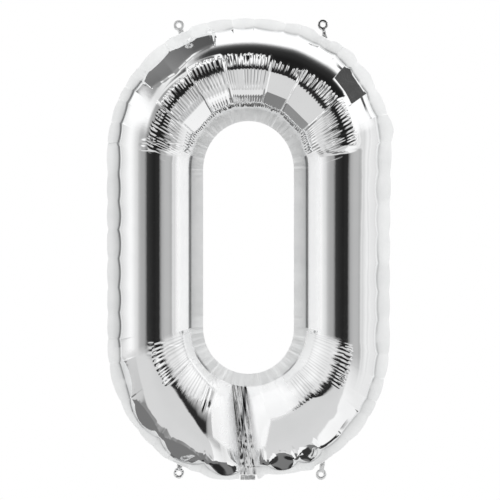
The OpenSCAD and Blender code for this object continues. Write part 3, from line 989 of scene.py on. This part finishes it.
def hanging_tab(name, material):
    """One tab, joined from its ring, its neck and the rolled fold it swings on, then crumpled."""
    end, x, reach, lean, pinch, seed = TABS[name]
    fold, along, aim, ring = tab_places(end, x, reach, lean)
    across, out = np.array([aim[1], -aim[0]]), np.array([-along[1], along[0]])
    middle_r, half_ring = (TAB_RING_D + TAB_HOLE_D) / 4, (TAB_RING_D - TAB_HOLE_D) / 4
    punched, neck, roll = [], [], []
    for k in range(RING_LOOPS):
        a = 2 * math.pi * k / RING_LOOPS
        way = np.array([math.cos(a), math.sin(a)])
        punched.append(oval(ring + way * middle_r, way, half_ring - 0.1, TAB_T / 2))
    stop = ring - aim * middle_r
    for k in range(NECK_LOOPS):
        share = k / (NECK_LOOPS - 1)
        turn = along * (1 - share) + across * share * np.sign(along @ across)
        turn /= np.linalg.norm(turn)
        half = TAB_FOLD_L / 2 * (1 - share) ** 2 + pinch * 0.9 + 1.2 * share ** 3
        neck.append(oval(fold + (stop - fold) * share, turn, min(half, TAB_FOLD_L / 2),
                         TAB_NECK_HALF_T + 0.15 * math.sin(math.pi * share)))
    for k in range(FOLD_LOOPS):
        d = TAB_FOLD_L * (k / (FOLD_LOOPS - 1) - 0.5)
        roll.append(oval(fold + along * d, out, TAB_FOLD_D / 2, TAB_FOLD_D / 2))
    verts, faces = [], []
    for loops, closed in ((punched, True), (neck, False), (roll, False)):
        part_verts, part_faces = tube_of_loops(loops, closed)
        faces += [tuple(len(verts) + v for v in f) for f in part_faces]
        verts += [tuple(c * MM for c in p) for p in part_verts]
    mesh = bpy.data.meshes.new(name)
    mesh.from_pydata(verts, [], faces)
    face_outwards(mesh)
    rough = placed(name + "_rough", mesh)
    joined = rough.modifiers.new("joined", "REMESH")
    joined.mode = "VOXEL"
    joined.voxel_size = TAB_VOXEL
    seen = rough.evaluated_get(bpy.context.evaluated_depsgraph_get())
    skin = bpy.data.meshes.new_from_object(seen)
    bpy.data.objects.remove(rough)
    crush(skin, fold, aim, reach, seed)
    skin.materials.clear()
    new_piece(name, skin, [material], name, sharp=180)


def crush(mesh, fold, aim, reach, seed):
    """Creases a tab's skin along its normals, most at the neck and least at the hole and fold."""
    count = len(mesh.vertices)
    at, normal = np.zeros(count * 3), np.zeros(count * 3)
    mesh.vertices.foreach_get("co", at)
    mesh.vertices.foreach_get("normal", normal)
    at, normal = at.reshape(-1, 3) / MM, normal.reshape(-1, 3)
    up = (at[:, [0, 2]] - fold) @ aim / reach
    folds = crumple(at[:, 0] / 1.5 + at[:, 1], at[:, 2] / 1.5, seed)
    amount = 0.12 + 0.2 * step(0.05, 0.3, up) * step(1.0, 0.6, up)
    at = at + normal * (folds * amount)[:, None]
    mesh.vertices.foreach_set("co", (at * MM).reshape(-1))
    mesh.update()


# ---- Inflation neck and valve --------------------------------------------------------------

VALVE_W = 12.0
VALVE_FILM_T = 0.15
VALVE_WELD_W = 1.2
VALVE_SLEEVE_L = 32.5
VALVE_FLAP_L = 40.0
VALVE_LEAN = 30.0
SLEEVE_T = 2 * (INNER_FACE - 0.05)
# The sleeve ends this far short of the flaps, so that they swing clear of it
SLEEVE_GAP = 0.2


def mouth():
    """The middle of the neck's mouth, in the recess of the web's edge."""
    outer = np.mean([web_leans(-1)[0], web_leans(1)[0]])
    return rounded_end(np.array([outer]), OVERALL_W / 2 - NECK_RECESS,
                       BOTTOM_END_H - NECK_RECESS, BOTTOM_FULLNESS, BOTTOM_Z, BOTTOM)[0]


def sheet(columns, length, rows):
    """Shares across a sheet and lengths along it, as two grids."""
    return np.meshgrid(np.linspace(-0.5, 0.5, columns), np.linspace(0, length, rows),
                       indexing="ij")


def neck_lips(material):
    """The two cut ends of the neck, slightly rippled and parted."""
    width = WEB_OUTER_W - 4 * JOINT_GAP
    across, down = sheet(29, 1, 9)
    at = np.stack([mouth()[0] + width * across, mouth()[1] - JOINT_GAP - NECK_LIP_L * down], -1)
    for name, side, seed in (("neck_front_lip", FRONT, 61), ("neck_back_lip", BACK, 62)):
        ripple = lattice_noise(across * 7 + 3, down * 1.3, seed)
        middle = side * (INNER_FACE + FILM_T / 2) + 0.32 * ripple * step(0, 0.35, down)
        middle = middle + side * 0.5 * step(0.2, 1, down)
        slab(name, at, middle, FILM_T, material, name)


def along_valve(across, up):
    """Points [x, z] at a share across the valve and a length up it from the mouth's middle."""
    lean = math.radians(VALVE_LEAN)
    up = up + VALVE_W / 2 * math.tan(lean)
    x = mouth()[0] + across * VALVE_W * math.cos(lean) - up * math.sin(lean)
    z = mouth()[1] + across * VALVE_W * math.sin(lean) + up * math.cos(lean)
    return np.stack([x, z], -1)


def valve(material):
    """The flat sleeve between the welded panels and its two loose flaps inside the tube."""
    across, up = sheet(25, VALVE_SLEEVE_L - SLEEVE_GAP, 60)
    at = along_valve(across, up)
    middle = web_wave(at.reshape(-1, 2)).reshape(across.shape)
    weld = VALVE_W / 2 - VALVE_WELD_W
    thickness = SLEEVE_T * (1 - 0.35 * step(weld - 0.3, weld, np.abs(across) * VALVE_W))
    slab("valve_sleeve", at, middle, thickness, material, "balloon")
    across, up = sheet(13, VALVE_FLAP_L, 25)
    at = along_valve(across, VALVE_SLEEVE_L + up)
    for name, side in (("valve_front_flap", FRONT), ("valve_back_flap", BACK)):
        lo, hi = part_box(name)
        middle = (lo.y + hi.y) / 2 / MM + side * 0.12 * lattice_noise(across * 3, up / 6, 71) ** 2
        slab(name, at, middle, VALVE_FILM_T, material, name)


# ---- Materials -----------------------------------------------------------------------------

# Painted shade in the creases: the dark tone the film's colour takes there, where it is mirror
# bright, and where it is welded
PAINTED_CREASE_SHADE_MIRROR, PAINTED_CREASE_SHADE_WELD = (0.10, 0.105, 0.11), (0.2, 0.205, 0.21)


class Nodes:
    """The nodes of a material or a world, built one at a time."""

    def __init__(self, owner, output="OutputMaterial"):
        owner.use_nodes = True
        self.owner, self.tree = owner, owner.node_tree
        self.tree.nodes.clear()
        self.output = self.tree.nodes.new("ShaderNode" + output)

    def add(self, kind, inputs=(), **settings):
        """A node with its settings; its inputs are linked to sockets, or set to values."""
        node = self.tree.nodes.new("ShaderNode" + kind)
        for name, value in settings.items():
            setattr(node, name, value)
        for name, value in dict(inputs).items():
            if isinstance(value, bpy.types.NodeSocket):
                self.tree.links.new(value, node.inputs[name])
            else:
                node.inputs[name].default_value = value
        return node

    def finish(self, surface):
        self.tree.links.new(surface, self.output.inputs["Surface"])
        return self.owner

    def film(self, **inputs):
        """The finished material of a film with these inputs."""
        inputs = {name.replace("_", " "): value for name, value in inputs.items()}
        return self.finish(self.add("BsdfPrincipled", inputs).outputs["BSDF"])

    def attribute(self, name, output="Fac"):
        return self.add("Attribute", attribute_name=name).outputs[output]

    def maths(self, operation, *values):
        return self.add("Math", enumerate(values), operation=operation).outputs[0]

    def noise(self, scale, detail, roughness=0.5, distortion=0.0):
        where = self.add("TexCoord").outputs["Object"]
        return self.add("TexNoise", {
            "Vector": where, "Scale": scale, "Detail": detail, "Roughness": roughness,
            "Distortion": distortion}).outputs["Fac"]

    def mottled(self, scale, detail, low, high, high_at=0.7):
        """A tone or a share that wanders between two."""
        ramp = self.add("ValToRGB", {"Fac": self.noise(scale, detail)})
        for stop, place, tone in zip(ramp.color_ramp.elements, (0.3, high_at), (low, high)):
            stop.position = place
            stop.color = (*tone, 1) if isinstance(tone, tuple) else (tone, tone, tone, 1)
        return ramp.outputs["Color"]

    def bump(self, source, distance, strength=1.0, under=None):
        inputs = {"Height": source, "Distance": distance, "Strength": strength}
        if under is not None:
            inputs["Normal"] = under
        return self.add("Bump", inputs).outputs["Normal"]

    def with_painted_crease_shade(self, tone, dark):
        """The tone, darkened by painted shade where the film is creased."""
        return self.add("Mix", {"Factor": self.attribute("painted_crease_shade"), "A": tone, "B": (*dark, 1)},
                        data_type="RGBA").outputs["Result"]


def mirror_foil():
    """Vacuum-metallised film, drawn tight: nearly a mirror, with a trace of orange peel."""
    nodes = Nodes(bpy.data.materials.new("mirror_foil"))
    tone = nodes.mottled(38, 3, (0.93, 0.935, 0.94), (0.965, 0.968, 0.97))
    haze = nodes.mottled(120, 4, 0.035, 0.075, 0.75)
    dull = nodes.attribute("gathered")
    # Its colour is darkened by painted shade in the creases
    return nodes.film(Base_Color=nodes.with_painted_crease_shade(tone, PAINTED_CREASE_SHADE_MIRROR),
                      Roughness=nodes.maths("MULTIPLY_ADD", dull, 0.3, haze),
                      Metallic=nodes.maths("SUBTRACT", 1.0, dull),
                      Normal=nodes.bump(nodes.noise(330, 2), 0.00002))


def sealed_foil(name, sheen):
    """The same film where the two panels are welded: dulled and finely crinkled by the heat."""
    nodes = Nodes(bpy.data.materials.new(name))
    tone = nodes.mottled(60, 4, (0.89, 0.9, 0.9), (0.94, 0.945, 0.945))
    crinkle = nodes.bump(nodes.noise(620, 3, 0.6, 0.6), 0.00012, 0.6)
    # Its colour is darkened by painted shade in the creases
    return nodes.film(Metallic=sheen, Base_Color=nodes.with_painted_crease_shade(tone, PAINTED_CREASE_SHADE_WELD),
                      Roughness=nodes.mottled(240, 3, 0.30, 0.42, 0.75),
                      Normal=nodes.bump(nodes.noise(130, 2), 0.0003, 0.5, crinkle))


def fused_sealant():
    """The clear layer that joins the panels, seen only as a thin line at the edges."""
    nodes = Nodes(bpy.data.materials.new("fused_sealant"))
    return nodes.film(IOR=1.5, Roughness=nodes.mottled(200, 2, 0.35, 0.5),
                      Base_Color=nodes.mottled(90, 3, (0.74, 0.75, 0.76), (0.82, 0.83, 0.84)))


def valve_film():
    """Milky polyethylene film of the valve."""
    nodes = Nodes(bpy.data.materials.new("valve_film"))
    return nodes.film(IOR=1.5, Roughness=nodes.mottled(160, 2, 0.25, 0.4),
                      Base_Color=nodes.mottled(70, 3, (0.78, 0.8, 0.82), (0.86, 0.88, 0.9)),
                      Normal=nodes.bump(nodes.noise(300, 2), 0.0001))


# ---- Studio, in metres ---------------------------------------------------------------------

CAMERA_AT = (0.0013, -2.5, -0.0009)
# Width of what the camera sees at the balloon
VIEW_W = 0.4395
SENSOR_W = 36
FLOOR_Z = -0.36
FLOOR_REACH = 30
# Distances from the balloon between which the floor fades into the white background
FLOOR_FADE = (0.55, 1.3)
FLOOR_GREY = 0.86
SOFTBOX_W, SOFTBOX_WATTS = 0.6, 3.3
SOFTBOX_AT, SOFTBOX_TURN = (0.15, -0.55, 1.0), (31, 9, 0)
SURROUND_R = 6.0


def camera():
    data = bpy.data.cameras.new("camera")
    data.sensor_width = SENSOR_W
    data.lens = SENSOR_W * -CAMERA_AT[1] / VIEW_W
    seen = placed("camera", data)
    seen.location = CAMERA_AT
    seen.rotation_euler = (math.radians(90), 0, 0)
    bpy.context.scene.camera = seen


# Grey of the studio walls by azimuth: 0 is the wall behind the camera, and 90 is to the right
WALLS = ((-180, 0.05), (-169, 0.05), (-165, 0.2), (-160, 0.5), (-150, 0.62), (-125, 0.78),
         (-107, 0.86), (-87, 1.0), (-78, 1.0), (-70, 0.92), (-55, 0.70), (-48, 0.51), (-41, 0.42),
         (-31, 0.38), (-27, 0.27), (-22, 0.05), (-15, 0.033), (-8, 0.025), (0, 0.018), (7, 0.024),
         (15, 0.026), (18, 0.2), (24, 0.42), (34, 0.50), (46, 0.50), (54, 0.44), (57, 0.52),
         (60, 0.76), (66, 0.70), (75, 0.84), (81, 0.9), (88, 0.78), (94, 0.88), (100, 0.84),
         (118, 0.82), (130, 0.78), (141, 0.76), (152, 0.66), (158, 0.4), (165, 0.2), (169, 0.05),
         (180, 0.05))
WHITE_WALL = 1.07
# The dark ceiling panel, by lean from straight up: how far it reaches from the camera's direction
# in degrees, its darkest grey, and its palest
CEILING = ((-66, 28, 0.5, 1.07), (-59, 30, 0.45, 1.07), (-47, 34, 0.35, 0.75),
           (-35, 42, 0.15, 0.95), (-28, 48, 0.08, 0.8), (-22, 53, 0.04, 0.5),
           (-16, 63, 0.015, 0.3), (-14.5, 65, 0.013, 0.3), (-13, 66, 0.013, 1.07),
           (0, 66.5, 0.013, 1.07), (22, 68, 0.013, 1.07), (44, 74, 0.013, 1.07),
           (49.5, 80, 0.013, 1.07), (53, 62, 0.013, 1.07), (57, 28, 0.013, 1.07),
           (76, 20, 0.013, 1.07))
# Its grey by the degrees past its edge
CEILING_EDGE = ((-30, 0.013), (-14, 0.03), (-8, 0.06), (-3, 0.15), (0, 0.35), (5, 0.85), (8, 1.07))
# Grey over the ceiling's left part, by lean, and how far from the camera's direction it starts
LEFT_CEILING = ((-59, 1.07, 46), (-56, 0.34, 47), (-47, 0.27, 49), (-35, 0.205, 56),
                (-24, 0.14, 62), (-15, 0.13, 66), (-13.5, 0.13, 66))
# The floor's grey part, by roll from straight down: how far from the camera's direction it
# starts, and its grey; then the white of the table on the right, by roll
FLOOR = ((-90, 60, 0.7), (-74, 60, 0.62), (-66, 60, 0.58), (-59, 60, 0.26), (-50, 60, 0.28),
         (-43, 62, 0.34), (-38, 64, 0.36), (-28, 57, 0.24), (-21, 53, 0.215), (-10, 53, 0.2),
         (-3, 68, 0.2), (8, 70, 0.2), (22, 72, 0.22))
WHITE_TABLE = ((30, 1.0), (43, 0.95), (52, 0.93), (62, 0.86), (74, 0.84))


def layered(base, *layers):
    """A grey with other greys laid over it one after another, each by its share."""
    for grey, share in layers:
        base = base + (grey - base) * share
    return base


def surround_shade(azimuth, elevation):
    """Grey level of the studio round the balloon: walls, dark ceiling panels, and a pale table.

    Turn is the angle from the camera's direction, lean is from straight up, and roll is from
    straight down.
    """
    a, e = np.radians(azimuth), np.radians(elevation)
    across, ahead, up = np.sin(a) * np.cos(e), np.cos(a) * np.cos(e), np.sin(e)
    turn = np.degrees(np.arccos(np.clip(ahead, -1, 1)))
    lean, roll = np.degrees(np.arctan2(across, up)), np.degrees(np.arctan2(across, -up))
    wall = lookup(WALLS, azimuth)

    leans, edge, core, pale = zip(*CEILING)
    ceiling = lookup(CEILING_EDGE, turn - np.interp(lean, leans, edge))
    ceiling = np.clip(ceiling, np.interp(lean, leans, core), np.interp(lean, leans, pale))
    leans, grey, start = zip(*LEFT_CEILING)
    start = np.interp(lean, leans, start)
    left = np.interp(lean, leans, grey) * (1.3 - 0.55 * step(92, 118, turn))
    left_share = band(-56, -49, -14, -13, lean) * step(0, 5, elevation)
    left_share = left_share * step(start + 2, start + 13, turn) * step(128, 122, turn)

    rolls, start, grey = zip(*FLOOR)
    start, grey = np.interp(roll, rolls, start), np.interp(roll, rolls, grey)
    near_middle = step(12, 8, np.abs(roll))
    behind = step(-70, -64, roll) * band(93, 97, 146, 156, turn)
    table = layered(
        0.70 - 0.03 * step(30, 10, turn),
        (0.46, near_middle * band(35, 38, 45, 48, turn)),
        (0.80, near_middle * step(48, 52, turn)),
        (grey, step(start - 2, start + 2, turn)),
        (lookup(WHITE_TABLE, roll), step(0.33, 0.38, across)),
        (0.19, behind * step(24, 20, roll)),
        (0.035, behind * band(15, 19, 44, 50, roll) * step(101, 106, turn)),
        (0.02, behind * band(111, 115, 134, 141, turn) * band(-16, -12, 2, 5, roll)),
        (0.6, step(146, 156, turn)),
        (wall, step(60, 89, roll)))
    return layered(
        wall,
        # Above the flags at the sides the walls are white
        (WHITE_WALL, step(14, 22, elevation) * step(24, 30, np.abs(azimuth))),
        # The dark ceiling panel in front, and the grey to the left of it
        (ceiling, step(6, 13, elevation) * band(-76, -57, 58, 76, lean)),
        (left, left_share),
        # A strip of light between the ceiling's panels on the left
        (0.95, band(-40, -34, -25, -19, lean) * band(68, 76, 90, 97, turn)),
        # A dark flag high up on the right, behind
        (0.08, band(39, 41.5, 63.5, 66, lean) * band(96, 99, 108, 112, turn)),
        # The table and the floor beyond it
        (table, step(-4.5, -7, elevation)))


def studio_surround():
    """A sphere that only reflections see."""
    a, e = np.meshgrid(np.radians(np.arange(-180, 180, 2.0)), np.radians(np.arange(-90, 91, 2.0)),
                       indexing="ij")
    verts = np.stack([np.sin(a) * np.cos(e), -np.cos(a) * np.cos(e), np.sin(e)], -1)
    quads = grid_quads(*a.shape, rows_wrap=False)[:, TURNED]
    mesh = quad_mesh("studio_surround", SURROUND_R * verts.reshape(-1, 3), quads)
    shade = surround_shade(np.degrees(a), np.degrees(e)).reshape(-1)
    colours = np.column_stack([shade, shade, shade, np.ones_like(shade)]).astype(np.float32)
    attribute = mesh.color_attributes.new("shade", "FLOAT_COLOR", "POINT")
    attribute.data.foreach_set("color", colours.reshape(-1))
    nodes = Nodes(bpy.data.materials.new("studio_surround"))
    glow = nodes.add("Emission", {"Color": nodes.attribute("shade", "Color")})
    mesh.materials.append(nodes.finish(glow.outputs["Emission"]))
    sphere = placed("studio_surround", mesh)
    sphere.visible_camera = False
    sphere.visible_diffuse = False
    sphere.visible_shadow = False
    sphere.visible_transmission = False


def floor():
    """Pale floor: it keeps the shadow near the balloon and fades into the white background."""
    mesh = bpy.data.meshes.new("floor")
    corners = ((-1, -1), (1, -1), (1, 1), (-1, 1))
    mesh.from_pydata([(x * FLOOR_REACH, y * FLOOR_REACH, FLOOR_Z) for x, y in corners], [],
                     [(0, 1, 2, 3)])
    nodes = Nodes(bpy.data.materials.new("floor"))
    paint = nodes.add("BsdfDiffuse", {"Color": (FLOOR_GREY, FLOOR_GREY, FLOOR_GREY, 1)}).outputs[0]
    where = nodes.add("TexCoord").outputs["Object"]
    length = nodes.add("VectorMath", {0: where}, operation="LENGTH").outputs["Value"]
    fade = nodes.add("MapRange", {"Value": length, "From Min": FLOOR_FADE[0],
                                  "From Max": FLOOR_FADE[1]}).outputs["Result"]
    seen = nodes.add("MixShader", {0: fade, 1: paint, 2: nodes.add("Emission").outputs[0]})
    by_camera = nodes.add("LightPath").outputs["Is Camera Ray"]
    mix = nodes.add("MixShader", {0: by_camera, 1: paint, 2: seen.outputs[0]})
    mesh.materials.append(nodes.finish(mix.outputs[0]))
    ground = placed("floor", mesh)
    # Reflections see the table that the surround paints, which has no hard horizon
    ground.visible_glossy = False


def light():
    """A plain white world and one soft overhead lamp."""
    world = bpy.data.worlds.new("studio")
    nodes = Nodes(world, "OutputWorld")
    nodes.finish(nodes.add("Background", {"Color": (1, 1, 1, 1)}).outputs[0])
    bpy.context.scene.world = world
    data = bpy.data.lights.new("softbox", "AREA")
    data.shape = "SQUARE"
    data.size = SOFTBOX_W
    data.energy = SOFTBOX_WATTS
    lamp = placed("softbox", data)
    lamp.location = SOFTBOX_AT
    lamp.rotation_euler = [math.radians(angle) for angle in SOFTBOX_TURN]
    lamp.visible_glossy = False
    bpy.context.scene.view_settings.view_transform = "Standard"


# ---- Everything together -------------------------------------------------------------------

camera()
light()
studio_surround()
floor()
MIRROR = mirror_foil()
EDGE_FILM = sealed_foil("edge_film", sheen=0.15)
HOLE_FILM = sealed_foil("hole_film", sheen=0.38)
NECK_FILM = sealed_foil("neck_film", sheen=0.8)
SEALANT, VALVE = fused_sealant(), valve_film()
foil_panel("front_foil", FRONT, MIRROR, EDGE_FILM, HOLE_FILM)
foil_panel("back_foil", BACK, MIRROR, EDGE_FILM, HOLE_FILM)
seals(SEALANT)
for tab_name in TABS:
    hanging_tab(tab_name, NECK_FILM if tab_name in DULL_TABS else MIRROR)
neck_lips(NECK_FILM)
valve(VALVE)
